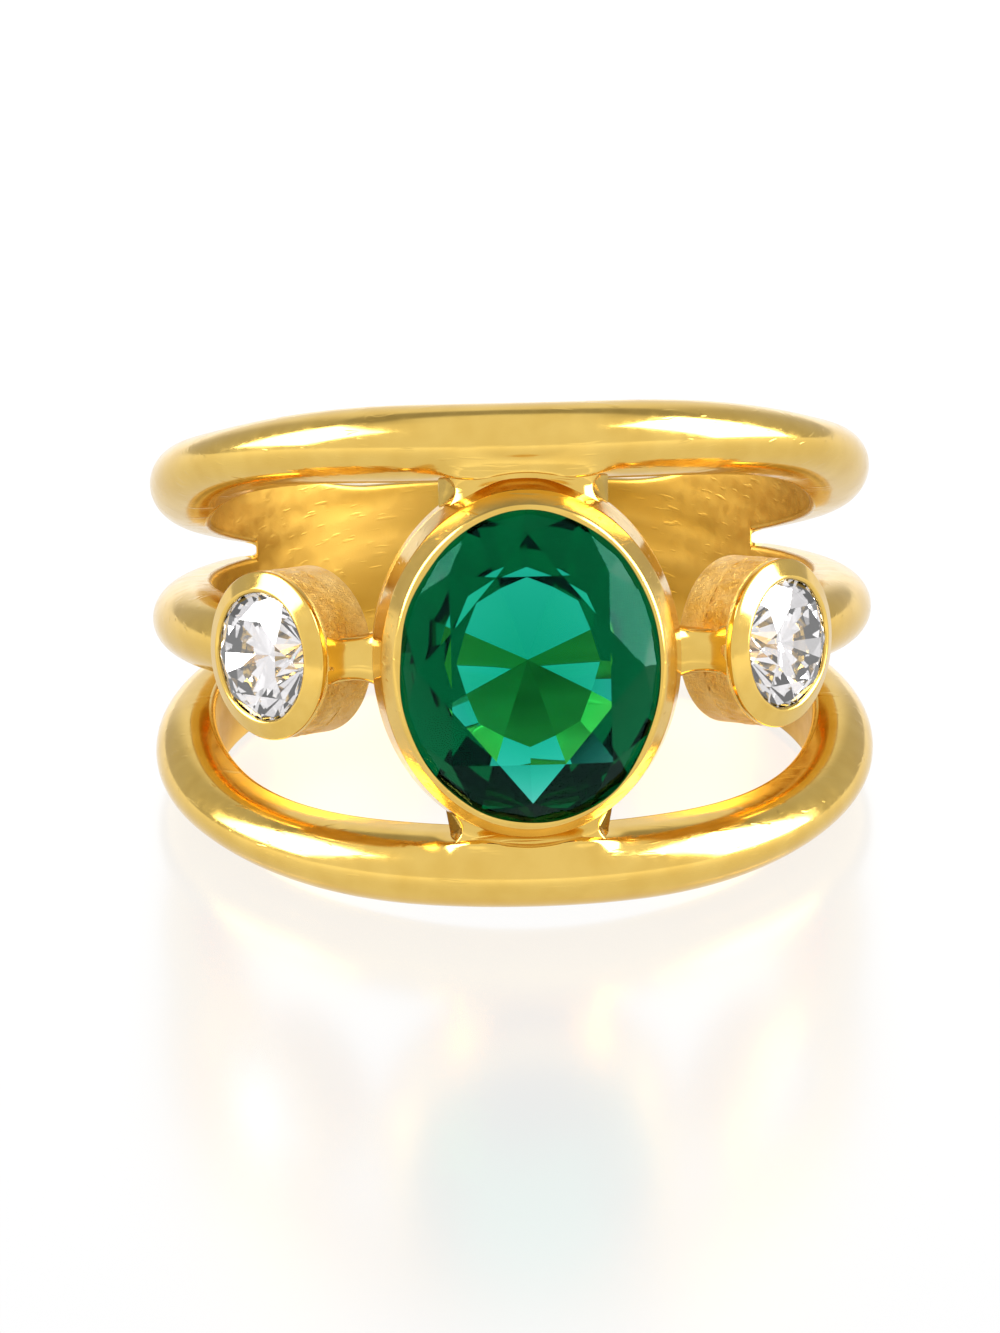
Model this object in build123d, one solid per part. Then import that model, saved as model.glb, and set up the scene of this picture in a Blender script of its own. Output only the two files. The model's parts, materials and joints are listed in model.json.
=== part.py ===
from build123d import *
import os
from collections import namedtuple
from math import cos, hypot, radians, sin, sqrt

# Cocktail ring: three domed bands that part from one broad shank, an oval stone in a plain
# bezel held between the outer two, and a small round stone in a bezel at each end of the
# middle one. It is drawn with the finger axis along Z and the centre stone facing -Y, then
# leaned back onto the edges that it stands on. Millimetres and degrees; angles round the
# finger are measured from the front of the ring.

# Finger hole and bands
FINGER_RADIUS = 8.65          # US size 7
BAND_THICKNESS = 1.75         # from the finger to the crown of the dome
BAND_FLANK = 0.45             # upright side of a band below its dome
FRONT_WIDTH = 2.15            # outer bands, across the band, at the front
SHOULDER_WIDTH = 1.86         # outer bands beyond the side settings
SIDE_WIDTH = 2.33             # outer bands from the side of the finger to the shank
MIDDLE_WIDTH = 2.18
RISE_FRONT = 6.15             # centre line of an outer band above the middle plane
RISE_SIDE = 3.93
RISE_MERGE = 2.7
RISE_FULLNESS = 0.14          # how much fuller than a plain cosine curve the centre line is
FRONT_SPLAY = 12.0            # how far the outer bands tip away from the middle plane
TRIM_STOCK = 0.5              # extra metal inside each section, bored away by the finger hole

# Shank
SHANK_START = 123.0           # where the shank's own metal begins, leaving a blunt crotch
SHANK_LEVEL = 155.0           # from here to the back the shank has one width
FADE_END = 151.0              # the valleys between the bands have faded out here
VALLEY_HEIGHT = 1.17          # from the middle plane to a valley where the shank begins
SHANK_HALF_WIDTH = 2.75
SHANK_FLANK = 0.65
SECTION_STEP = 9.0

# Settings. Depths are measured back from the plane of the lip, offsets out from the opening.
Setting = namedtuple("Setting", "half_x half_y lip rim_drop flare collar_depth base_depth")
CENTRE_SETTING = Setting(3.625, 4.375, 0.5, 0.12, 0.22, 1.9, 2.8)
SIDE_SETTING = Setting(1.8, 1.8, 0.6, 0.3, 0.0, 1.35, 2.2)
LIP_EDGE = 0.05               # thickness of the lip at its inner edge
BASE_LEDGE = 0.1              # the base ring reaches this much further in than the bearing
CENTRE_FACE = 11.6            # from the finger axis to the plane of the centre lip
SIDE_FACE = (7.5, 8.2)        # the middle of a side lip, across and in front of the finger axis
SIDE_TURN = 50.0              # how far a side stone is turned away from the centre stone

# Stones. Ratios are of the girdle radius.
Stone = namedtuple("Stone", "grip girdle_top girdle crown table mid_crown pavilion lower")
CENTRE_STONE = Stone(0.25, 0.3, 0.12, 0.95, 0.62, 0.82, 2.35, 0.8)
SIDE_STONE = Stone(0.2, 0.3, 0.08, 0.62, 0.57, 0.78, 1.72, 0.8)
BEARING_CLEARANCE = 0.05
BEARING_WIDTH = 0.48

# Bridge bars and solder
BAR_MIDDLE = 4.8              # sideways from the finger axis
BAR_LENGTH = 1.6              # before its ends are fitted to the two walls
BAR_HALF_HEIGHT = 0.78
BAR_WAIST = 0.1               # how far the top and bottom of a bar are scooped out
BAR_SCOOP_RADIUS = 1.2
BAR_FRONT = 9.5               # from the finger axis to the front of a bar
BAR_DEPTH = 0.8
SEAM_HALF_LENGTH = 2.4
SEAM_DEPTH = (9.0, 9.8)       # from the finger axis to the back and front of the solder
SEAM_HEIGHT = (4.0, 5.5)      # above or below the middle plane
SEAM_HOLLOW = 0.3             # radius of the concave ends of the solder
NOTCH_GAP = 0.22              # the outer bands are cut away this far clear of the centre setting

REST_LEAN = 14.8              # so that the sides of the lower band and the shank touch down

MID_RADIUS = FINGER_RADIUS + BAND_THICKNESS / 2


def blend(value, start, end):
    """Ease from 0 at start to 1 at end."""
    share = min(1.0, max(0.0, (value - start) / (end - start)))
    return share * share * (3 - 2 * share)


def rise(angle):
    """Height of an outer band's centre line: named at the front, the side and 120 degrees."""
    second = (RISE_MERGE - 1.5 * RISE_SIDE + 0.5 * RISE_FRONT) / 1.5
    first = RISE_FRONT - RISE_SIDE - 2 * second
    turn = radians(angle)
    fullness = RISE_FULLNESS * sin(2 * turn) ** 2
    return RISE_SIDE + second + first * cos(turn) + second * cos(2 * turn) + fullness


def climb(angle):
    """How fast the centre line rises, per radian."""
    step = 0.01
    return (rise(angle + step) - rise(angle - step)) / radians(2 * step)


def half_height(angle):
    """Half the upright height of an outer band, whose width is measured across its run."""
    away = abs(angle)
    width = FRONT_WIDTH + (SHOULDER_WIDTH - FRONT_WIDTH) * blend(away, 20, 60)
    width += (SIDE_WIDTH - SHOULDER_WIDTH) * blend(away, 60, 95)
    return width / 2 * hypot(1, climb(angle) / MID_RADIUS)


def section_plane(angle, height, splay):
    """The upright plane through the finger axis at this angle, centred in a band."""
    turn, tip = radians(angle), radians(splay)
    outward = Vector(sin(turn) * cos(tip), -cos(turn) * cos(tip), sin(tip))
    along = Vector(cos(turn), sin(turn), 0)
    middle = Vector(MID_RADIUS * sin(turn), -MID_RADIUS * cos(turn), height)
    return Plane(origin=middle, x_dir=outward, z_dir=-along)


def band_section(angle, height, half, splay):
    """A D-shaped section: straight flanks and a half-elliptical dome."""
    inner = -BAND_THICKNESS / 2 - TRIM_STOCK
    shoulder = -BAND_THICKNESS / 2 + BAND_FLANK
    outline = Line((inner, half), (inner, -half)) + Line((inner, -half), (shoulder, -half))
    dome = BAND_THICKNESS - BAND_FLANK
    outline += EllipticalCenterArc((shoulder, 0), dome, half, start_angle=-90, arc_size=180)
    outline += Line((shoulder, half), (inner, half))
    return section_plane(angle, height, splay) * make_face(outline)


def angles_between(start, end):
    count = round((end - start) / SECTION_STEP)
    return [start + (end - start) * i / count for i in range(count + 1)]


def finger_hole():
    return Cylinder(FINGER_RADIUS, 40)


def outer_band(side):
    """The upper band with side 1, the lower band with side -1."""
    sections = []
    for angle in angles_between(-SHANK_START, SHANK_START):
        splay = side * FRONT_SPLAY * (1 - blend(abs(angle), 0, 100))
        sections.append(band_section(angle, side * rise(angle), half_height(angle), splay))
    return loft(sections) - finger_hole()


def middle_band(side):
    """From the shank to the side setting: right with side 1, left with side -1."""
    inside_setting = 45.0
    sections = []
    for angle in angles_between(inside_setting, SHANK_START):
        sections.append(band_section(side * angle, 0, MIDDLE_WIDTH / 2, 0))
    return loft(sections) - finger_hole()


def shank_half(angle):
    """Half the shank's width: it carries on from the outer bands and settles to one width."""
    share = min(1.0, (angle - SHANK_START) / (SHANK_LEVEL - SHANK_START))
    start = rise(SHANK_START) + half_height(SHANK_START)
    slope = climb(SHANK_START) * radians(SHANK_LEVEL - SHANK_START)
    ease = blend(share, 0, 1)
    return start * (1 - ease) + SHANK_HALF_WIDTH * ease + slope * share * (1 - share) ** 2


def shank_section(angle):
    """Three domes side by side that fade into one broad dome towards the back."""
    away = min(angle, 360 - angle)
    half = shank_half(away)
    valley = half * VALLEY_HEIGHT / shank_half(SHANK_START)
    fade = blend(away, SHANK_START, FADE_END)
    bottom = -BAND_THICKNESS / 2
    inner = bottom - TRIM_STOCK
    flank = BAND_FLANK + (SHANK_FLANK - BAND_FLANK) * fade

    def surface(low, high, turn):
        across = sin(radians(turn))
        height = (low + high) / 2 + (high - low) / 2 * across
        own = BAND_FLANK + (BAND_THICKNESS - BAND_FLANK) * (1 - across ** 4)
        broad = flank + (BAND_THICKNESS - flank) * sqrt(max(0, 1 - (height / half) ** 2))
        return (bottom + own + (broad - own) * fade, height)

    edges = [-half, -valley, valley, half]
    outline = Line((inner, half), (inner, -half))
    outline += Line((inner, -half), surface(edges[0], edges[1], -90))
    for low, high in zip(edges, edges[1:]):
        outline += Spline([surface(low, high, turn) for turn in range(-90, 91, 30)])
    outline += Line(surface(edges[2], edges[3], 90), (inner, half))
    return section_plane(angle, 0, 0) * make_face(outline)


def back_shank():
    sections = [shank_section(angle) for angle in angles_between(SHANK_START, 360 - SHANK_START)]
    return loft(sections) - finger_hole()


def oval_stack(setting, levels):
    """A solid through ovals, each given by its offset from the opening and its depth."""
    ovals = []
    for offset, depth in levels:
        oval = Ellipse(setting.half_x + offset, setting.half_y + offset)
        ovals.append(Pos(0, 0, -depth) * oval)
    return loft(ovals, ruled=True)


def outside(setting, depth, gap=0.0):
    """The outer surface of a setting down to a depth, as a solid, or a solid that clears it."""
    lip = setting.lip + gap
    levels = [(lip - setting.rim_drop, 0), (lip, setting.rim_drop)]
    levels.append((lip + setting.flare, setting.collar_depth))
    if depth > setting.collar_depth:
        levels.append((lip + setting.flare, depth))
    return oval_stack(setting, levels)


def bezel_collar(setting, stone):
    """The wall, with its lip rubbed over the stone's crown."""
    girdle = stone.grip + 0.01
    pocket = [(0, -0.1), (0, LIP_EDGE), (girdle, stone.girdle_top - 0.02)]
    pocket.append((girdle, setting.collar_depth))
    return outside(setting, setting.collar_depth) - oval_stack(setting, pocket)


def bearing(setting, stone):
    """The ring inside the collar, whose sloped seat carries the pavilion."""
    top = stone.girdle_top + stone.girdle + BEARING_CLEARANCE
    inner = stone.grip - BEARING_WIDTH
    girdle_radius = setting.half_x + stone.grip
    seat_drop = 1.3 * BEARING_WIDTH * stone.pavilion / girdle_radius
    body = oval_stack(setting, [(stone.grip, top), (stone.grip, setting.collar_depth)])
    seat = oval_stack(setting, [(stone.grip, top), (inner, top + seat_drop)])
    throat = oval_stack(setting, [(inner, top), (inner, setting.collar_depth)])
    return body - seat - throat


def base_ring(setting, stone):
    """The foot under collar and bearing, open behind the stone."""
    inner = stone.grip - BEARING_WIDTH - BASE_LEDGE
    outer = setting.lip + setting.flare
    span = (setting.collar_depth, setting.base_depth)
    body = oval_stack(setting, [(outer, depth) for depth in span])
    return body - oval_stack(setting, [(inner, depth) for depth in span])


def faceted_stone(setting, stone):
    """A brilliant cut stretched to the setting's oval: every facet is flat."""
    radius_x = setting.half_x + stone.grip
    radius_y = setting.half_y + stone.grip
    step = 22.5
    tilt = cos(radians(step))

    def point(radius, turn, height):
        turn = radians(turn)
        return Vector(radius * radius_x * cos(turn), radius * radius_y * sin(turn), height)

    top = -stone.girdle_top
    bottom = top - stone.girdle
    table_height = top + stone.crown
    culet_height = bottom - stone.pavilion
    crown_slope = stone.crown / (1 - stone.table)
    mid_height = table_height - (stone.mid_crown * tilt - stone.table) * crown_slope
    lower_height = culet_height + stone.pavilion * stone.lower * tilt
    culet = Vector(0, 0, culet_height)
    facets = [[point(stone.table, 45 * i, table_height) for i in range(8)]]
    for main in range(0, 360, 45):
        before, after = main - step, main + step
        table_point = point(stone.table, main, table_height)
        next_table_point = point(stone.table, main + 45, table_height)
        high = {turn: point(1, turn, top) for turn in (before, main, after)}
        low = {turn: point(1, turn, bottom) for turn in (before, main, after)}
        mid = {turn: point(stone.mid_crown, turn, mid_height) for turn in (before, after)}
        foot = {turn: point(stone.lower, turn, lower_height) for turn in (before, after)}
        facets.append([table_point, mid[before], high[main], mid[after]])
        facets.append([table_point, mid[after], next_table_point])
        facets.append([culet, foot[before], low[main], foot[after]])
        for turn in (before, after):
            facets.append([mid[turn], high[turn], high[main]])
            facets.append([foot[turn], low[turn], low[main]])
            facets.append([high[turn], high[main], low[main], low[turn]])
    return Solid(Shell([Face(Wire.make_polygon(facet)) for facet in facets]))


def side_plane(side):
    """The lip plane of the right setting with side 1, of the left with side -1."""
    turn = radians(SIDE_TURN)
    middle = Vector(side * SIDE_FACE[0], -SIDE_FACE[1], 0)
    level = Vector(cos(turn), side * sin(turn), 0)
    facing = Vector(side * sin(turn), -cos(turn), 0)
    return Plane(origin=middle, x_dir=level, z_dir=facing)


def bridge_bar(side, centre_body, side_body):
    """A saddle-shaped bar between the walls of the centre setting and a side setting."""
    middle_y = BAR_DEPTH / 2 - BAR_FRONT
    block = Box(BAR_LENGTH, BAR_DEPTH, 2 * BAR_HALF_HEIGHT)
    bar = Pos(side * BAR_MIDDLE, middle_y, 0) * block
    for way in (-1, 1):
        height = way * (BAR_HALF_HEIGHT - BAR_WAIST + BAR_SCOOP_RADIUS)
        scoop = Rot(90, 0, 0) * Cylinder(BAR_SCOOP_RADIUS, 2 * BAR_DEPTH)
        bar -= Pos(side * BAR_MIDDLE, middle_y, height) * scoop
    return largest(bar - centre_body - side_body)


def solder_seam(side, centre_body, band):
    """Solder drawn into the notch where the centre setting meets an outer band."""
    back, front = SEAM_DEPTH
    low, high = SEAM_HEIGHT
    middle_y = -(back + front) / 2
    middle_z = side * (low + high) / 2
    block = Box(2 * SEAM_HALF_LENGTH, front - back, high - low)
    seam = Pos(0, middle_y, middle_z) * block
    for way in (-1, 1):
        hollow = Rot(90, 0, 0) * Cylinder(SEAM_HOLLOW, 2 * (front - back))
        seam -= Pos(way * (SEAM_HALF_LENGTH + SEAM_HOLLOW / 2), middle_y, middle_z) * hollow
    return seam - centre_body - band


def largest(shape):
    return max(shape.solids(), key=lambda solid: solid.volume)


def build():
    """All pieces of the ring, by name, in the drawing position."""
    pieces = {}
    centre_plane = Plane(origin=(0, -CENTRE_FACE, 0), x_dir=(1, 0, 0), z_dir=(0, -1, 0))
    places = [("centre", centre_plane, CENTRE_SETTING, CENTRE_STONE)]
    places.append(("left", side_plane(-1), SIDE_SETTING, SIDE_STONE))
    places.append(("right", side_plane(1), SIDE_SETTING, SIDE_STONE))
    notch = centre_plane * outside(CENTRE_SETTING, CENTRE_SETTING.base_depth + 1, NOTCH_GAP)
    body = {}
    for name, plane, setting, stone in places:
        body[name] = plane * outside(setting, setting.base_depth)
        pieces[name + "_bezel_collar"] = plane * bezel_collar(setting, stone)
        pieces[name + "_bearing"] = plane * bearing(setting, stone)
        pieces[name + "_base_ring"] = plane * base_ring(setting, stone) - finger_hole()
        pieces[name + "_stone"] = plane * faceted_stone(setting, stone)
    pieces["back_shank"] = back_shank()
    for name, side in (("upper", 1), ("lower", -1)):
        band = outer_band(side) - notch
        pieces[name + "_band"] = band
        pieces[name + "_solder_seam"] = solder_seam(side, body["centre"], band)
    for name, side in (("left", -1), ("right", 1)):
        pieces[name + "_base_ring"] -= body["centre"]
        pieces["middle_band_" + name] = largest(middle_band(side) - body[name])
        pieces[name + "_bridge_bar"] = bridge_bar(side, body["centre"], body[name])
    return pieces


def stand(pieces):
    """Lean the ring back and put the middle of its footprint on the origin."""
    leaned = {name: Rot(-REST_LEAN, 0, 0) * piece for name, piece in pieces.items()}
    box = Compound(list(leaned.values())).bounding_box(optimal=True)
    middle = box.center()
    shift = Pos(-middle.X, -middle.Y, -box.min.Z)
    return {name: shift * piece for name, piece in leaned.items()}


os.makedirs("parts", exist_ok=True)
for name, piece in stand(build()).items():
    export_step(piece, f"parts/{name}.step")
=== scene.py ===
import json
from collections import namedtuple
from math import atan2, cos, hypot, pi, radians, sin, sqrt, tan

import bmesh
import bpy
import numpy as np
from mathutils import Matrix, Vector


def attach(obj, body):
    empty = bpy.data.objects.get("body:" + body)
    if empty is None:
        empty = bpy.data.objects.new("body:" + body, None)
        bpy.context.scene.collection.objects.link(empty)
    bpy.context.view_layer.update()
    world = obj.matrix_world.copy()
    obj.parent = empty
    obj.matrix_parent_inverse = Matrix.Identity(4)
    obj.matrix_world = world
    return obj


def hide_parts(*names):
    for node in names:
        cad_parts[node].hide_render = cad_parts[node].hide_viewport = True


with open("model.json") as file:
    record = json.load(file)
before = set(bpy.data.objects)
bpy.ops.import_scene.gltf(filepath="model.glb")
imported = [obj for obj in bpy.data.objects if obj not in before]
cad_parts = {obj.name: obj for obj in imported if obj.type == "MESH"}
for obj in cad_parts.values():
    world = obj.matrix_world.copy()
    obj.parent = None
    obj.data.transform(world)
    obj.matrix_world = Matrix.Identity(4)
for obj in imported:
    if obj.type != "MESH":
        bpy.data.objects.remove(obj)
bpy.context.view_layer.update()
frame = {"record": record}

# The ring is drawn in millimetres with the finger axis along Z and the centre stone facing -Y,
# as the solids are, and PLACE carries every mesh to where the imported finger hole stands.
HOLE = frame["record"]["mounts"][0]
FINGER_RADIUS = HOLE["dims"]["r_mm"]
LEAN = atan2(HOLE["axis"][1], HOLE["axis"][2])
MM = 0.001
PLACE = Matrix.Translation(HOLE["pos_m"]) @ Matrix.Rotation(-LEAN, 4, "X") @ Matrix.Scale(MM, 4)

# Bands: flat in the finger hole and domed outside. Angles run round the finger from the centre
# stone, in degrees. A rise is how far an outer band's middle stands from the ring's middle.
THICKNESS = 1.75
FLANK = 0.45                  # the straight side between the bore and the dome
SHOULDER = FLANK - THICKNESS / 2
BORE_EDGE = 0.16              # rounding where a band's flank meets the finger hole
MID_RADIUS = FINGER_RADIUS + THICKNESS / 2
FRONT_WIDTH, SHOULDER_WIDTH, SIDE_WIDTH, MIDDLE_WIDTH = 2.15, 1.86, 2.33, 2.18
FRONT_ANGLE, SHOULDER_ANGLE, SIDE_ANGLE = 20.0, 60.0, 95.0   # where an outer band is that wide
RISE_FRONT, RISE_SIDE, RISE_MERGE, RISE_FULLNESS = 6.15, 3.93, 2.7, 0.14
FRONT_SPLAY = 12.0            # how far the outer bands' sections tip apart at the front
SPLAY_END = 100.0
MIDDLE_START = 50.0           # the middle bands begin behind the side settings

# Shank: three lobes that fade into one broad dome
SHANK_START = 123.0
SHANK_LEVEL = 155.0           # the shank keeps its height from here on
SHANK_HALF_WIDTH = 2.75
SHANK_FLANK = 0.65
CROTCH_END = 126.5            # the gaps between the bands are closed from here on
FADE_END = 153.0
GAP_SKIN = 0.02               # what is left above the bore where a gap is open
VALLEY_DEPTH = 0.1            # how far a closed gap lies below the lobes' shoulders
VALLEY_POWER, BROAD_POWER = 5, 2.3

# Settings: the opening is half across and half up, and a wall is how far outside the opening the
# collar ends. The depths are those of the collar's back and the base ring's foot.
CENTRE_FACE = 11.6
CENTRE_OPENING = (3.625, 4.375)
CENTRE_WALL = 0.72
CENTRE_DEPTHS = (1.9, 2.8)
SIDE_FACE = (7.5, 8.2)
SIDE_OPENING = (1.8, 1.8)
SIDE_TURN = 50.0
SIDE_WALL = 0.57
SIDE_DEPTHS = (1.35, 2.2)
FLANGE_DEPTH = 0.5            # a side collar is polished to here and as cast behind

# The outer bands are notched round the centre collar, and solder fills the notches.
NOTCH_GAP = 0.2
WALL_X, WALL_Z = (half + CENTRE_WALL for half in CENTRE_OPENING)
NOTCH_X, NOTCH_Z = WALL_X + NOTCH_GAP, WALL_Z + NOTCH_GAP
NOTCH_FRONT = 8.0             # only what is further forward than this is moved
NOTCH_RIM = 10.3              # how far forward the notch's rim meets the solder

# A stone: how far it reaches under the lip, the depth and height of its girdle, and the height of
# its crown; the table and the crown's middle corners, as shares of its radius; its depth below
# the girdle; and the radius and depth, as shares, at which its inner lower facets end.
Cut = namedtuple("Cut", "grip top girdle crown table middle pavilion inner_radius inner_depth")
CENTRE_CUT = Cut(0.25, 0.3, 0.12, 0.95, 0.62, 0.82, 2.35, 0.52, 0.68)
SIDE_CUT = Cut(0.2, 0.3, 0.08, 0.62, 0.57, 0.78, 1.8, 0.2, 0.8)

# Colours: noise mixes each pair of golds.
POLISHED_TONES = (0.75, 0.49, 0.11, 1), (0.80, 0.54, 0.135, 1)
# The finger hole's golds are painted shade, far darker than the polished ones, and their noise
# paints long streaks of blurred reflection.
BORE_SHADE_AND_REFLECTION_TONES = (0.44, 0.25, 0.03, 1), (0.74, 0.48, 0.10, 1)
INNER_TONES = (0.72, 0.46, 0.1, 1), (0.78, 0.52, 0.125, 1)
CAST_TONES = (0.66, 0.37, 0.06, 1), (0.79, 0.53, 0.17, 1)
GREEN_REFLECTION = (0.04, 0.3, 0.22, 1)
GREEN_VOLUME = (0.34, 0.893, 0.834, 1)
CLEAR_COLOUR = (0.9, 0.875, 0.885, 1)


def blend(value, start, end):
    """Ease from 0 at start to 1 at end, for a number or an array."""
    share = np.clip((value - start) / (end - start), 0, 1)
    return share * share * (3 - 2 * share)


# ---------------------------------------------------------------- meshes


def add_piece(name, mesh, material):
    """Put a placed mesh in the scene for the CAD node of that name."""
    mesh.materials.append(material)
    piece = bpy.data.objects.new(name + "_surface", mesh)
    bpy.context.scene.collection.objects.link(piece)
    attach(piece, "root")
    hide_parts(name)


def make_piece(name, verts, faces, material):
    """A smooth piece from points in millimetres: only edges sharper than 50 degrees show."""
    mesh = bpy.data.meshes.new(name + "_surface")
    mesh.from_pydata([tuple(v) for v in verts], [], faces)
    work = bmesh.new()
    work.from_mesh(mesh)
    bmesh.ops.remove_doubles(work, verts=work.verts, dist=1e-5)
    bmesh.ops.recalc_face_normals(work, faces=work.faces)
    work.to_mesh(mesh)
    work.free()
    mesh.transform(PLACE)
    mesh.shade_smooth()
    mesh.set_sharp_from_angle(angle=radians(50))
    add_piece(name, mesh, material)


def loop_faces(rows, columns, round_trip):
    """Quads between closed loops of points; with round_trip the last loop joins the first."""
    faces = []
    for row in range(rows if round_trip else rows - 1):
        here, there = row * columns, (row + 1) % rows * columns
        for column in range(columns):
            after = (column + 1) % columns
            faces.append((here + column, here + after, there + after, there + column))
    if not round_trip:
        faces.append(tuple(range(columns)))
        faces.append(tuple(range((rows - 1) * columns, rows * columns)))
    return faces


def sweep(name, loops, material):
    """A polished piece through closed loops of points, capped at both ends."""
    faces = loop_faces(len(loops), len(loops[0]), False)
    make_piece(name, np.concatenate(loops), faces, material)


def rounded(corners, pieces=8, arc_pieces=8):
    """A closed outline through corners (x, y, radius), its corners turned into arcs."""
    arcs = []
    count = len(corners)
    for i in range(count):
        before, here, after = (np.array(corners[(i + k) % count][:2], float) for k in (-1, 0, 1))
        radius = corners[i][2]
        if radius <= 0:
            arcs.append([here])
            continue
        back = (before - here) / np.linalg.norm(before - here)
        ahead = (after - here) / np.linalg.norm(after - here)
        opening = np.arccos(np.clip(back @ ahead, -1, 1))
        reach = radius / tan(opening / 2)
        centre = here + (back + ahead) / np.linalg.norm(back + ahead) * radius / sin(opening / 2)
        start, end = here + back * reach - centre, here + ahead * reach - centre
        first = atan2(start[1], start[0])
        turn = (atan2(end[1], end[0]) - first + pi) % (2 * pi) - pi
        angles = [first + turn * k / arc_pieces for k in range(arc_pieces + 1)]
        arcs.append([centre + radius * np.array((cos(a), sin(a))) for a in angles])
    points = []
    for i in range(count):
        points.extend(arcs[i])
        start, end = arcs[i][-1], arcs[(i + 1) % count][0]
        points.extend(start + (end - start) * k / (pieces + 1) for k in range(1, pieces + 1))
    return np.array(points)


# ---------------------------------------------------------------- bands and shank
#
# A section is a list of points (u, v): u outwards from the middle of the band's thickness, v up
# along its width. It starts at the dome's lower edge, goes up over the dome, and comes back down
# along the bore.


def rise(angle):
    """How far an outer band stands from the ring's middle: a cosine series through RISE_FRONT at 0,
    RISE_SIDE at 90 and RISE_MERGE at 120 degrees, and a fullness that is most at 45 and 135."""
    second = (RISE_MERGE - 1.5 * RISE_SIDE + 0.5 * RISE_FRONT) / 1.5
    first = RISE_FRONT - RISE_SIDE - 2 * second
    turn = radians(angle)
    fullness = RISE_FULLNESS * sin(2 * turn) ** 2
    return RISE_SIDE + second + first * cos(turn) + second * cos(2 * turn) + fullness


def climb(angle):
    """How fast an outer band rises, in millimetres per radian round the finger."""
    step = 0.01
    return (rise(angle + step) - rise(angle - step)) / radians(2 * step)


def half_height(angle):
    """Half of an outer band's upright section: its width, stretched by the slope of its climb."""
    away = abs(angle)
    narrowing = blend(away, FRONT_ANGLE, SHOULDER_ANGLE)
    widening = blend(away, SHOULDER_ANGLE, SIDE_ANGLE)
    width = FRONT_WIDTH + (SHOULDER_WIDTH - FRONT_WIDTH) * narrowing
    width += (SIDE_WIDTH - SHOULDER_WIDTH) * widening
    return width / 2 * hypot(1, climb(angle) / MID_RADIUS)


def dome(half, steps=44):
    turns = [pi * k / steps - pi / 2 for k in range(steps + 1)]
    return [(SHOULDER + (THICKNESS - FLANK) * cos(a), half * sin(a)) for a in turns]


def bore_side(v, splay):
    """The finger hole's wall at v, in a section tipped by splay."""
    tip = radians(splay)
    return (FINGER_RADIUS - MID_RADIUS + v * sin(tip)) / cos(tip)


def flank_and_edge(half, splay, sign):
    """From the dome down a straight flank and round the corner into the bore."""
    flank_steps, edge_steps = 4, 6
    bottom = bore_side(sign * half, splay) + BORE_EDGE
    points = []
    for k in range(1, flank_steps):
        points.append((SHOULDER + (bottom - SHOULDER) * k / flank_steps, sign * half))
    for k in range(edge_steps + 1):
        turn = pi / 2 * k / edge_steps
        v = sign * (half - BORE_EDGE + BORE_EDGE * cos(turn))
        points.append((bore_side(v, splay) + BORE_EDGE * (1 - sin(turn)), v))
    return points


def inner_side(half, splay, steps):
    """From the dome's upper edge down to the bore, along it, and out to the lower edge."""
    reach = half - BORE_EDGE
    heights = [reach - 2 * reach * k / steps for k in range(1, steps)]
    bore = [(bore_side(v, splay), v) for v in heights]
    return flank_and_edge(half, splay, 1) + bore + flank_and_edge(half, splay, -1)[::-1]


def place_section(section, angle, height, splay):
    """Carry a section round the finger and up, tipped by splay."""
    u, v = np.array(section).T
    tip, turn = radians(splay), radians(angle)
    radius = MID_RADIUS + u * cos(tip) - v * sin(tip)
    z = height + u * sin(tip) + v * cos(tip)
    return np.stack([radius * sin(turn), -radius * cos(turn), z], 1)


def band_loop(angle, height, half, splay):
    """One closed section of a band, placed round the finger."""
    section = dome(half) + inner_side(half, splay, 16)
    return place_section(section, angle, height, splay)


def clear_centre(points):
    """Push a band out of the notch, and bring the notch's rim forward to meet the solder."""
    x, y, z = points.T
    share = np.hypot(x / NOTCH_X, z / NOTCH_Z)
    softness, least_share = 0.006, 0.2
    eased = 1 + softness * np.logaddexp(0, (share - 1) / softness)
    scale = np.where(y < -NOTCH_FRONT, eased / np.maximum(share, least_share), 1.0)
    by_notch = blend(share, 1.22, 1.0)
    by_seam = blend(np.abs(x), 2.9, 1.7)
    outer_face = blend(-y, 9.2, 9.7)
    forward = np.minimum(0, -NOTCH_RIM - y) * by_notch * by_seam * outer_face * 0.9
    return np.stack([x * scale, y + forward, z * scale], 1)


def outer_band(name, side, material):
    """side is 1 for the upper band and -1 for the lower one."""
    loops = []
    for angle in np.linspace(-SHANK_START, SHANK_START, 541):
        splay = side * FRONT_SPLAY * (1 - blend(abs(angle), 0, SPLAY_END))
        loop = band_loop(angle, side * rise(angle), half_height(angle), splay)
        loops.append(clear_centre(loop))
    sweep(name, loops, material)


def middle_band(name, side, material):
    """side is 1 for the right band and -1 for the left one."""
    angles = np.linspace(MIDDLE_START, SHANK_START, 151)
    sweep(name, [band_loop(side * angle, 0, MIDDLE_WIDTH / 2, 0) for angle in angles], material)


def shank_half(angle):
    """Half of the shank's height, which leaves the outer bands' edges at their own slope."""
    share = min(1.0, (angle - SHANK_START) / (SHANK_LEVEL - SHANK_START))
    start = rise(SHANK_START) + half_height(SHANK_START)
    slope = climb(SHANK_START) * radians(SHANK_LEVEL - SHANK_START)
    ease = blend(share, 0, 1)
    return start * (1 - ease) + SHANK_HALF_WIDTH * ease + slope * share * (1 - share) ** 2


def valley(low, high, floor, steps=12):
    """The gap between two lobes, with steep walls and a flat floor."""
    points = []
    for k in range(1, steps):
        share = k / steps
        depth = (SHOULDER - floor) * (1 - abs(2 * share - 1) ** VALLEY_POWER)
        points.append((SHOULDER - depth, low + (high - low) * share))
    return points


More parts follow.
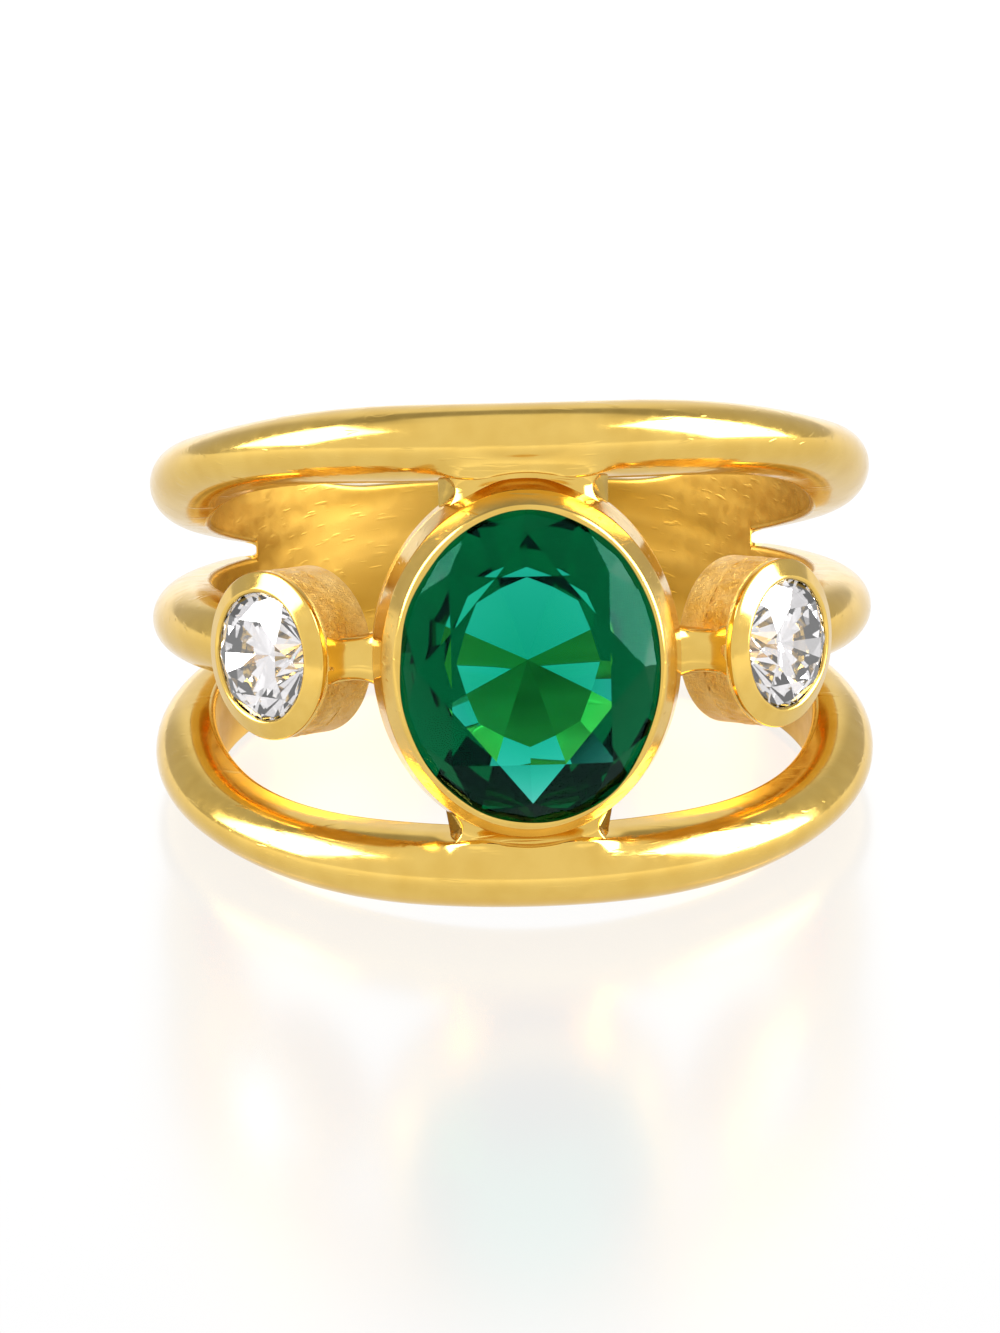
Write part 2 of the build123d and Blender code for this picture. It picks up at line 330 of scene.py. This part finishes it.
def shank_profile(away):
    """The outer side of the shank from its lower to its upper flank: three domes that fade."""
    half = shank_half(away)
    scale = half / shank_half(SHANK_START)
    middle = MIDDLE_WIDTH / 2 * scale
    inner_edge = (rise(SHANK_START) - half_height(SHANK_START)) * scale
    bore = -THICKNESS / 2
    closing = blend(away, SHANK_START - 0.5, CROTCH_END)
    floor = bore + GAP_SKIN + (SHOULDER - VALLEY_DEPTH - GAP_SKIN - bore) * closing
    points = []
    for low, high in ((-half, -inner_edge), (-middle, middle), (inner_edge, half)):
        if points:
            points += valley(points[-1][1], low, floor)
        points += [(u, (low + high) / 2 + v) for u, v in dome((high - low) / 2)]
    fade = blend(away, SHANK_START + 1, FADE_END)
    broad_flank = FLANK + (SHANK_FLANK - FLANK) * fade + bore
    faded = []
    for u, height in points:
        flat = max(0.0, 1 - abs(height / half) ** BROAD_POWER) ** (1 / BROAD_POWER)
        broad = broad_flank + (THICKNESS / 2 - broad_flank) * flat
        faded.append((u + (broad - u) * fade, height))
    return smooth_valleys(np.array(faded), away)


def smooth_valleys(points, away, most_passes=60, reached=140.0):
    """Round the bottoms of the valleys, more so further back."""
    passes = int(most_passes * blend(away, SHANK_START + 0.5, reached))
    for _ in range(passes):
        points[1:-1] = (points[:-2] + 2 * points[1:-1] + points[2:]) / 4
    return [tuple(p) for p in points]


def shank_loop(angle):
    """One closed section of the shank, placed round the finger."""
    away = min(angle, 360 - angle)
    section = shank_profile(away) + inner_side(shank_half(away), 0, 48)
    return place_section(section, angle, 0, 0)


def back_shank(material):
    """Its loops are close together through each crotch, and wider apart round the back."""
    fine_end = CROTCH_END + 1
    crotch = np.linspace(SHANK_START, fine_end, 24)[:-1]
    back = np.linspace(fine_end, 360 - fine_end, 220)
    angles = np.concatenate([crotch, back, (360 - crotch)[::-1]])
    sweep("back_shank", [shank_loop(angle) for angle in angles], material)


# ---------------------------------------------------------------- settings
#
# An outline's corners are (offset outwards from the opening, depth behind the lip, rounding).


class Setting:
    """Where a stone sits: the lip's plane and the oval opening in it."""

    def __init__(self, origin, turn, opening):
        self.origin = np.array(origin, float)
        turn = radians(turn)
        self.level = np.array((cos(turn), sin(turn), 0))
        self.facing = np.array((sin(turn), -cos(turn), 0))
        self.half = np.array(opening)

    def place(self, x, y, depth):
        """Points from the lip's own plane: x level, y up, depth back from the lip."""
        up = np.array((0, 0, 1))
        in_plane = self.origin + np.outer(x, self.level) + np.outer(y, up)
        return in_plane - np.outer(depth, self.facing)

    def ring(self, outline, turns, vary=None):
        """The points and faces of an outline carried round the oval."""
        offset, depth = outline.T
        loops = []
        for k in range(turns):
            angle = 2 * pi * k / turns
            here = offset if vary is None else vary(angle, offset)
            x = (self.half[0] + here) * cos(angle)
            y = (self.half[1] + here) * sin(angle)
            loops.append(self.place(x, y, depth))
        return np.concatenate(loops), loop_faces(turns, len(outline), True)


CENTRE = Setting((0, -CENTRE_FACE, 0), 0, CENTRE_OPENING)
LEFT = Setting((-SIDE_FACE[0], -SIDE_FACE[1], 0), -SIDE_TURN, SIDE_OPENING)
RIGHT = Setting((SIDE_FACE[0], -SIDE_FACE[1], 0), SIDE_TURN, SIDE_OPENING)


def hand_rubbed(size, seed, dip=None):
    """Unevenness of a lip's inner edge. dip is one dent in it: (angle, width, depth)."""
    lip_width = 0.2
    rng = np.random.default_rng(seed)
    order = np.arange(2, 14)
    phases = rng.uniform(0, 2 * pi, 12)
    weights = rng.uniform(0.3, 1, 12)

    def vary(angle, offset):
        ripple = np.sum(weights * np.sin(order * angle + phases) / np.sqrt(order))
        push = size * ripple / 2
        if dip is not None:
            away = (angle - radians(dip[0]) + pi) % (2 * pi) - pi
            push += dip[2] * np.exp(-(away / radians(dip[1])) ** 2)
        return offset + np.clip(1 - offset / lip_width, 0, 1) * push
    return vary


def as_cast(verts, setting, size, seed):
    """The lumpy skin of a casting, on the outside of everything behind the flange."""
    waves, usual_height = 14, 2.6
    rng = np.random.default_rng(seed)
    depth = (setting.origin - verts) @ setting.facing
    axis_point = setting.origin - np.outer(depth, setting.facing)
    outwards = verts - axis_point
    distance = np.linalg.norm(outwards, axis=1)
    share = blend(depth, FLANGE_DEPTH, FLANGE_DEPTH + 0.12) * blend(distance, 2.2, 2.3)
    lumps = np.zeros(len(verts))
    for _ in range(waves):
        direction = rng.normal(size=3)
        length = rng.uniform(0.18, 0.5)
        direction *= 2 * pi / length / np.linalg.norm(direction)
        lumps += np.sin(verts @ direction + rng.uniform(0, 2 * pi))
    push = np.clip(lumps / usual_height, -1.5, 1.0) * size * share
    return verts + outwards / distance[:, None] * push[:, None]


def centre_setting(gold, inner):
    back, foot = CENTRE_DEPTHS
    collar = rounded([(0.0, 0.2, 0.03), (0.04, 0.0, 0.08), (0.16, 0.0, 0.2), (0.53, 0.72, 0.3),
                      (CENTRE_WALL, back, 0.02), (0.3, back, 0), (0.28, 0.36, 0)])
    rubbing = hand_rubbed(size=0.05, seed=4, dip=(-52, 17, 0.1))
    verts, faces = CENTRE.ring(collar, 360, rubbing)
    make_piece("centre_bezel_collar", verts, faces, gold)
    bearing = rounded([(0.28, 0.5, 0), (0.3, back, 0), (-0.23, back, 0.03), (-0.23, 0.9, 0.05)])
    verts, faces = CENTRE.ring(bearing, 240)
    make_piece("centre_bearing", verts, faces, inner)
    base = rounded([(CENTRE_WALL, back, 0.02), (CENTRE_WALL, foot, 0.1),
                    (-0.33, foot, 0.1), (-0.33, back, 0.02)])
    verts, faces = CENTRE.ring(base, 240)
    make_piece("centre_base_ring", verts, faces, inner)


def side_setting(side, setting, lip_seed, gold, inner):
    back, foot = SIDE_DEPTHS
    collar = rounded([(0.0, 0.12, 0.03), (0.05, 0.0, 0.1), (0.6, 0.27, 0.1), (0.6, 0.42, 0.04),
                      (SIDE_WALL, FLANGE_DEPTH, 0.05), (SIDE_WALL, back, 0.02),
                      (0.22, back, 0), (0.22, 0.36, 0)])
    verts, faces = setting.ring(collar, 240, hand_rubbed(size=0.025, seed=lip_seed))
    verts = as_cast(verts, setting, size=0.018, seed=11)
    make_piece(side + "_bezel_collar", verts, faces, gold)
    bearing = rounded([(0.2, 0.44, 0), (0.22, back, 0), (-0.28, back, 0.03), (-0.28, 0.95, 0.05)])
    verts, faces = setting.ring(bearing, 160)
    make_piece(side + "_bearing", verts, faces, inner)
    base = rounded([(SIDE_WALL, back, 0.02), (SIDE_WALL, foot, 0.1),
                    (-0.38, foot, 0.1), (-0.38, back, 0.02)])
    verts, faces = setting.ring(base, 160)
    make_piece(side + "_base_ring", verts, faces, gold)


def bridge_bar(side, sign, material):
    """A saddle from the centre collar to a side one: its section swells towards both walls."""
    steps = 40
    start, length = 4.1, 1.5
    front, back, half_width = 9.34, 8.7, 0.64
    front_edge, back_edge = 0.42, 0.16
    loops = []
    for k in range(steps + 1):
        share = k / steps
        swell = abs(2 * share - 1) ** 2.2
        half = half_width + 0.2 * swell
        top = front + 0.24 * swell + 0.1 * share
        section = rounded([(-top, half, front_edge), (-top, -half, front_edge),
                           (-back, -half, back_edge), (-back, half, back_edge)])
        y, z = section.T
        x = np.full(len(y), sign * (start + length * share))
        loops.append(np.stack([x, y, z], 1))
    sweep(side + "_bridge_bar", loops, material)


def solder_seam(side, sign, material):
    """Solder in the notch: a groove behind the bezel's middle, flush webs with hollow ends."""
    steps = 96
    reach, back = 2.38, 9.1
    groove_radius, web_height = 9.72, 0.42
    band_edge, overlap = 5.07, 0.1
    loops = []
    for k in range(steps + 1):
        share = sin(pi * k / steps - pi / 2)
        x = reach * share
        web = blend(abs(x), 0.35, 1.75)
        ending = sqrt(max(0.0, 1 - blend(abs(x), reach - 0.06, reach)))
        bottom = WALL_Z * sqrt(1 - (x / WALL_X) ** 2) - overlap
        notch = NOTCH_Z * sqrt(1 - (x / NOTCH_X) ** 2)
        top = max(notch, band_edge) + 0.12 + 0.2 * web * ending
        front = sqrt((groove_radius + web_height * web) ** 2 - x ** 2) - 0.45 * (1 - ending)
        middle = (bottom + top) / 2
        section = rounded([(-front - 0.12 * web, bottom, 0), (-front + 0.05, middle, 0.5),
                           (-front, top, 0), (-back, top, 0), (-back, bottom, 0)])
        y, z = section.T
        level = np.clip((z - bottom) / (top - bottom), 0, 1)
        pinch = 1 - 0.2 * abs(share) ** 6 * np.sin(pi * level)
        loops.append(np.stack([x * pinch, y, sign * z], 1))
    sweep(side + "_solder_seam", loops, material)


# ---------------------------------------------------------------- stones
#
# A stone is cut from a round blank of radius 1 with Z up through the table, measured from the
# lip, and then stretched to its oval.


def round_blank(top, bottom, sides=144):
    work = bmesh.new()
    turns = [2 * pi * k / sides for k in range(sides)]
    upper = [work.verts.new((cos(a), sin(a), top)) for a in turns]
    lower = [work.verts.new((cos(a), sin(a), bottom)) for a in turns]
    for k in range(sides):
        after = (k + 1) % sides
        work.faces.new((upper[k], upper[after], lower[after], lower[k]))
    work.faces.new(upper)
    work.faces.new(lower[::-1])
    return work


def cut_plane(work, point, normal):
    """Take away what lies beyond a plane, and close the cut."""
    geometry = work.verts[:] + work.edges[:] + work.faces[:]
    bmesh.ops.bisect_plane(work, geom=geometry, plane_co=point, plane_no=normal,
                           clear_outer=True, dist=1e-6)
    edges = [edge for edge in work.edges if edge.is_boundary]
    bmesh.ops.holes_fill(work, edges=edges, sides=0)


def cut_facet(work, turn, start, end):
    """A facet facing a turn, whose slope joins two points (distance from the axis, height)."""
    turn = radians(turn)
    run, drop = end[0] - start[0], end[1] - start[1]
    normal = Vector((-drop * cos(turn), -drop * sin(turn), run))
    if normal.x * cos(turn) + normal.y * sin(turn) < 0:
        normal = -normal
    cut_plane(work, Vector((start[0] * cos(turn), start[0] * sin(turn), start[1])), normal)


def brilliant(name, setting, cut, material):
    """An oval brilliant: every facet is one flat cut, the table last."""
    spare = 0.2
    girdle_top = -cut.top
    girdle_bottom = girdle_top - cut.girdle
    table_height = girdle_top + cut.crown
    culet_height = girdle_bottom - cut.pavilion
    inner_height = girdle_bottom - cut.pavilion * cut.inner_depth
    # How far out the flats of an 8-sided and a 16-sided outline lie, with its corners at 1
    flat_8, flat_16 = cos(radians(22.5)), cos(radians(11.25))
    middle_drop = (cut.middle * flat_8 - cut.table) * cut.crown / (1 - cut.table)
    middle_height = table_height - middle_drop
    work = round_blank(table_height + spare, culet_height - spare)
    for k in range(8):
        main, between = 22.5 + 45 * k, 45 * k
        cut_facet(work, main, (cut.table, table_height), (1, girdle_top))
        cut_facet(work, between, (cut.table * flat_8, table_height), (cut.middle, middle_height))
        cut_facet(work, between, (0, culet_height), (cut.inner_radius, inner_height))
    for k in range(16):
        turn = 11.25 + 22.5 * k
        cut_facet(work, turn, (cut.middle * flat_16, middle_height), (flat_16, girdle_top))
        cut_facet(work, turn, (cut.inner_radius * flat_16, inner_height), (flat_16, girdle_bottom))
    cut_plane(work, (0, 0, table_height), (0, 0, 1))
    bmesh.ops.recalc_face_normals(work, faces=work.faces)
    mesh = bpy.data.meshes.new(name)
    work.to_mesh(mesh)
    work.free()
    points = np.zeros(len(mesh.vertices) * 3)
    mesh.vertices.foreach_get("co", points)
    x, y, z = points.reshape(-1, 3).T
    radius_x, radius_y = setting.half + cut.grip
    stretched = setting.place(x * radius_x, y * radius_y, -z)
    mesh.vertices.foreach_set("co", stretched.ravel())
    mesh.transform(PLACE)
    mesh.shade_flat()
    add_piece(name, mesh, material)


# ---------------------------------------------------------------- nodes


def grey(value):
    return value, value, value, 1


def new_material(name):
    material = bpy.data.materials.new(name)
    material.use_nodes = True
    nodes, links = material.node_tree.nodes, material.node_tree.links
    return material, nodes, links, nodes["Principled BSDF"]


def noise(nodes, links, scale, detail, roughness=0.5, stretch=(1, 1, 1)):
    """Noise in the object's own space."""
    place = nodes.new("ShaderNodeTexCoord")
    mapping = nodes.new("ShaderNodeMapping")
    mapping.inputs["Scale"].default_value = stretch
    texture = nodes.new("ShaderNodeTexNoise")
    texture.inputs["Scale"].default_value = scale
    texture.inputs["Detail"].default_value = detail
    texture.inputs["Roughness"].default_value = roughness
    links.new(place.outputs["Object"], mapping.inputs["Vector"])
    links.new(mapping.outputs["Vector"], texture.inputs["Vector"])
    return texture.outputs["Fac"]


def ramp(nodes, links, source, tones, start, end):
    """From the first of two colours to the second as a value goes from start to end."""
    node = nodes.new("ShaderNodeValToRGB")
    for element, position, tone in zip(node.color_ramp.elements, (start, end), tones):
        element.position = position
        element.color = tone
    links.new(source, node.inputs["Fac"])
    return node.outputs["Color"]


def bump(nodes, links, source, distance, strength, below=None):
    """Unevenness of the surface, on top of the one below."""
    node = nodes.new("ShaderNodeBump")
    node.inputs["Distance"].default_value = distance
    node.inputs["Strength"].default_value = strength
    links.new(source, node.inputs["Height"])
    if below is not None:
        links.new(below, node.inputs["Normal"])
    return node.outputs["Normal"]


def map_range(nodes, links, source, low, high, start, end):
    """Ease from start to end as a value goes from low to high."""
    node = nodes.new("ShaderNodeMapRange")
    node.interpolation_type = "SMOOTHSTEP"
    node.inputs["From Min"].default_value = low
    node.inputs["From Max"].default_value = high
    node.inputs["To Min"].default_value = start
    node.inputs["To Max"].default_value = end
    links.new(source, node.inputs["Value"])
    return node.outputs["Result"]


def combine(nodes, links, operation, first, second=0):
    """One sum with two numbers or sockets."""
    node = nodes.new("ShaderNodeMath")
    node.operation = operation
    for socket, value in zip(node.inputs, (first, second)):
        if isinstance(value, (int, float)):
            socket.default_value = value
        else:
            links.new(value, socket)
    return node.outputs["Value"]


def mix_colours(nodes, links, share, first, second):
    mix = nodes.new("ShaderNodeMix")
    mix.data_type = "RGBA"
    factor, a, b = mix.inputs[0], mix.inputs[6], mix.inputs[7]
    for socket, source in ((factor, share), (a, first), (b, second)):
        links.new(source, socket)
    return mix.outputs[2]


def drawing_place(nodes, links):
    """X and Y of a point in the drawing's millimetres, the finger's axis along Z."""
    place = nodes.new("ShaderNodeTexCoord")
    mapping = nodes.new("ShaderNodeMapping")
    mapping.vector_type = "TEXTURE"
    mapping.inputs["Location"].default_value = PLACE.translation
    mapping.inputs["Rotation"].default_value = (-LEAN, 0, 0)
    mapping.inputs["Scale"].default_value = (MM, MM, MM)
    axes = nodes.new("ShaderNodeSeparateXYZ")
    links.new(place.outputs["Object"], mapping.inputs["Vector"])
    links.new(mapping.outputs["Vector"], axes.inputs["Vector"])
    return axes.outputs["X"], axes.outputs["Y"]


def in_bore(nodes, links):
    """1 on the finger hole's wall, and 0 a little further from the finger's axis."""
    x, y = drawing_place(nodes, links)
    squares = [combine(nodes, links, "MULTIPLY", part, part) for part in (x, y)]
    distance = combine(nodes, links, "SQRT", combine(nodes, links, "ADD", *squares))
    return map_range(nodes, links, distance, FINGER_RADIUS + 0.03, FINGER_RADIUS + 0.21, 1, 0)


def behind_flange(nodes, links):
    """1 on the walls of the side settings, and 0 on the flanges in front of them."""
    x, y = drawing_place(nodes, links)
    turn = radians(SIDE_TURN)
    across = combine(nodes, links, "MULTIPLY", combine(nodes, links, "ABSOLUTE", x), sin(turn))
    along = combine(nodes, links, "MULTIPLY", y, cos(turn))
    outwards = combine(nodes, links, "SUBTRACT", across, along)
    edge = SIDE_FACE[0] * sin(turn) + SIDE_FACE[1] * cos(turn) - FLANGE_DEPTH
    return map_range(nodes, links, outwards, edge - 0.08, edge + 0.06, 1, 0)


# ---------------------------------------------------------------- materials


def polished_gold():
    """Mirror-polished outside, satin in the finger hole, where the colour is darkened with painted
    shade and streaked with painted blurred reflections.
    """
    material, nodes, links, shader = new_material("polished_gold")
    shader.inputs["Metallic"].default_value = 1.0
    bore = in_bore(nodes, links)
    cloud = noise(nodes, links, scale=900, detail=2)
    bright = ramp(nodes, links, cloud, POLISHED_TONES, 0.35, 0.65)
    streak = noise(nodes, links, scale=150, detail=2, stretch=(0.6, 0.6, 3.5))
    # Painted shade and painted streaky reflections in the finger hole's colour
    bore_shade_and_reflections = ramp(nodes, links, streak, BORE_SHADE_AND_REFLECTION_TONES, 0.36, 0.62)
    links.new(mix_colours(nodes, links, bore, bright, bore_shade_and_reflections), shader.inputs["Base Color"])
    fine = noise(nodes, links, scale=2500, detail=4, roughness=0.6)
    sheen = ramp(nodes, links, fine, (grey(0.10), grey(0.20)), 0.35, 0.7)
    satin = combine(nodes, links, "MULTIPLY", bore, 0.26)
    links.new(combine(nodes, links, "ADD", sheen, satin), shader.inputs["Roughness"])
    slow = noise(nodes, links, scale=420, detail=1.5)
    surface = bump(nodes, links, slow, distance=0.00004, strength=0.5)
    rubbing = combine(nodes, links, "MULTIPLY", bore, streak)
    surface = bump(nodes, links, rubbing, distance=0.00025, strength=0.5, below=surface)
    scratch = noise(nodes, links, scale=6500, detail=1, stretch=(0.07, 0.35, 1.0))
    marks = ramp(nodes, links, scratch, (grey(0), grey(1)), 0.64, 0.72)
    surface = bump(nodes, links, marks, distance=0.000006, strength=0.6, below=surface)
    links.new(surface, shader.inputs["Normal"])
    return material


def inner_gold():
    """Satin: the hidden rings of the settings are never polished."""
    material, nodes, links, shader = new_material("inner_gold")
    shader.inputs["Metallic"].default_value = 1.0
    cloud = noise(nodes, links, scale=700, detail=2)
    tone = ramp(nodes, links, cloud, INNER_TONES, 0.3, 0.7)
    links.new(tone, shader.inputs["Base Color"])
    fine = noise(nodes, links, scale=3500, detail=4, roughness=0.6)
    sheen = ramp(nodes, links, fine, (grey(0.22), grey(0.36)), 0.35, 0.7)
    links.new(sheen, shader.inputs["Roughness"])
    surface = bump(nodes, links, fine, distance=0.00001, strength=0.4)
    links.new(surface, shader.inputs["Normal"])
    return material


def cast_gold():
    """Side settings: a polished flange in front, the wall behind it left as cast."""
    material, nodes, links, shader = new_material("cast_gold")
    shader.inputs["Metallic"].default_value = 1.0
    raw = behind_flange(nodes, links)
    grain = noise(nodes, links, scale=5000, detail=4, roughness=0.75)
    cloud = noise(nodes, links, scale=1500, detail=2)
    bright = ramp(nodes, links, cloud, POLISHED_TONES, 0.35, 0.65)
    dull = ramp(nodes, links, cloud, CAST_TONES, 0.3, 0.7)
    links.new(mix_colours(nodes, links, raw, bright, dull), shader.inputs["Base Color"])
    sheen = ramp(nodes, links, grain, (grey(0.08), grey(0.16)), 0.35, 0.7)
    rough = combine(nodes, links, "MULTIPLY", raw, 0.22)
    links.new(combine(nodes, links, "ADD", sheen, rough), shader.inputs["Roughness"])
    pits = combine(nodes, links, "MULTIPLY", raw, grain)
    surface = bump(nodes, links, pits, distance=0.00016, strength=1.0)
    links.new(surface, shader.inputs["Normal"])
    return material


def stone_material(name, colour, ior, tint):
    """Clear and smooth. tint is the colour of what the surface reflects."""
    material, _, _, shader = new_material(name)
    shader.inputs["Base Color"].default_value = colour
    shader.inputs["Transmission Weight"].default_value = 1.0
    shader.inputs["Roughness"].default_value = 0.0
    shader.inputs["IOR"].default_value = ior
    shader.inputs["Specular Tint"].default_value = tint
    return material


def green_stone():
    """The green deepens with the way light takes through the stone."""
    material = stone_material("green_stone", grey(1), 1.57, GREEN_REFLECTION)
    nodes, links = material.node_tree.nodes, material.node_tree.links
    volume = nodes.new("ShaderNodeVolumeAbsorption")
    volume.inputs["Color"].default_value = GREEN_VOLUME
    volume.inputs["Density"].default_value = 2500
    links.new(volume.outputs["Volume"], nodes["Material Output"].inputs["Volume"])
    return material


def clear_stone():
    return stone_material("clear_stone", CLEAR_COLOUR, 2.4, grey(1))


def glossy_white():
    """For the floor: its glow keeps shadows off it, and its gloss shows a faint reflection."""
    material, _, _, shader = new_material("floor")
    shader.inputs["Base Color"].default_value = grey(0.06)
    shader.inputs["Roughness"].default_value = 0.2
    shader.inputs["IOR"].default_value = 2.0
    shader.inputs["Emission Color"].default_value = grey(1)
    shader.inputs["Emission Strength"].default_value = 0.78
    return material


# ---------------------------------------------------------------- studio


def surroundings():
    """A pale room: bright in front and overhead, dimmer behind, with a dark gap high behind."""
    world = bpy.data.worlds.new("studio")
    bpy.context.scene.world = world
    world.use_nodes = True
    nodes, links = world.node_tree.nodes, world.node_tree.links
    place = nodes.new("ShaderNodeTexCoord")
    axes = nodes.new("ShaderNodeSeparateXYZ")
    links.new(place.outputs["Generated"], axes.inputs["Vector"])
    side = combine(nodes, links, "ABSOLUTE", axes.outputs["X"])
    back, up = axes.outputs["Y"], axes.outputs["Z"]
    dim = combine(nodes, links, "MULTIPLY", map_range(nodes, links, back, 0.0, 0.4, 0, 0.4),
                  map_range(nodes, links, side, 0.2, 0.45, 0, 1))
    gap = combine(nodes, links, "MULTIPLY", map_range(nodes, links, up, 0.6, 0.72, 0, 0.6),
                  map_range(nodes, links, up, 0.84, 0.92, 1, 0))
    gap = combine(nodes, links, "MULTIPLY", gap, map_range(nodes, links, back, 0.1, 0.4, 0, 1))
    dark = combine(nodes, links, "MAXIMUM", dim, gap)
    light = combine(nodes, links, "SUBTRACT", 1.0, dark)
    nodes["Background"].inputs["Color"].default_value = grey(1)
    links.new(light, nodes["Background"].inputs["Strength"])


def pale_floor(reach=1.2):
    mesh = bpy.data.meshes.new("floor")
    corners = [(-reach, -reach, 0), (reach, -reach, 0), (reach, reach, 0), (-reach, reach, 0)]
    mesh.from_pydata(corners, [], [(0, 1, 2, 3)])
    mesh.materials.append(glossy_white())
    floor = bpy.data.objects.new("floor", mesh)
    bpy.context.scene.collection.objects.link(floor)
    return floor


def softbox(name, azimuth, elevation, size, radiance, lit, distance=0.6):
    """A soft panel that lights only the ring, azimuth from the front towards the right."""
    turn, lift = radians(azimuth), radians(elevation)
    towards = Vector((sin(turn) * cos(lift), -cos(turn) * cos(lift), sin(lift)))
    light = bpy.data.lights.new(name, "AREA")
    light.shape = "RECTANGLE"
    light.size, light.size_y = size
    light.energy = radiance * pi * size[0] * size[1]
    lamp = bpy.data.objects.new(name, light)
    lamp.location = towards * distance
    lamp.rotation_euler = (-towards).to_track_quat("-Z", "Y").to_euler()
    bpy.context.scene.collection.objects.link(lamp)
    receivers = bpy.data.collections.new(name + "_receivers")
    for piece in lit:
        receivers.objects.link(piece)
    lamp.light_linking.receiver_collection = receivers


def studio():
    scene = bpy.context.scene
    scene.view_settings.view_transform = "Standard"
    surroundings()
    floor = pale_floor()
    ring = [piece for piece in scene.objects if piece.type == "MESH" and piece != floor]
    softbox("left_light", azimuth=-92, elevation=32, size=(0.42, 0.45), radiance=8, lit=ring)
    softbox("right_light", azimuth=84, elevation=30, size=(0.45, 0.62), radiance=9, lit=ring)


def camera():
    """The camera, in the ring's own directions: a little above and left of the centre stone."""
    elevation, azimuth, roll = radians(8.0), radians(-2.35), radians(1.1)
    distance = 0.3
    lens, sensor = 279.52, 36.0
    aim_right, aim_down = radians(0.0664), radians(0.3128)
    back = Vector((sin(azimuth) * cos(elevation), -cos(azimuth) * cos(elevation), sin(elevation)))
    turn = PLACE.to_3x3().normalized()
    back = (turn @ back).normalized()
    axis = (turn @ Vector((0, 0, 1))).normalized()
    right = (-back).cross(axis).normalized()
    up = right.cross(-back).normalized()
    rolled_right = right * cos(roll) - up * sin(roll)
    rolled_up = right * sin(roll) + up * cos(roll)
    facing = Matrix((rolled_right, rolled_up, back)).transposed()
    aim = Matrix.Rotation(aim_right, 3, "Y") @ Matrix.Rotation(-aim_down, 3, "X")
    stand = Matrix.Translation(PLACE.translation + back * distance)
    data = bpy.data.cameras.new("camera")
    data.sensor_width = sensor
    data.lens = lens
    data.clip_start = 0.01
    data.clip_end = 20
    obj = bpy.data.objects.new("camera", data)
    obj.matrix_world = stand @ (facing @ aim).to_4x4()
    bpy.context.scene.collection.objects.link(obj)
    bpy.context.scene.camera = obj


camera()
GOLD = polished_gold()
INNER = inner_gold()
CAST = cast_gold()
GREEN = green_stone()
CLEAR = clear_stone()
outer_band("upper_band", 1, GOLD)
outer_band("lower_band", -1, GOLD)
middle_band("middle_band_left", -1, GOLD)
middle_band("middle_band_right", 1, GOLD)
back_shank(GOLD)
centre_setting(GOLD, INNER)
side_setting("left", LEFT, 7, CAST, INNER)
side_setting("right", RIGHT, 9, CAST, INNER)
bridge_bar("left", -1, GOLD)
bridge_bar("right", 1, GOLD)
solder_seam("upper", 1, GOLD)
solder_seam("lower", -1, GOLD)
brilliant("centre_stone", CENTRE, CENTRE_CUT, GREEN)
brilliant("left_stone", LEFT, SIDE_CUT, CLEAR)
brilliant("right_stone", RIGHT, SIDE_CUT, CLEAR)
studio()
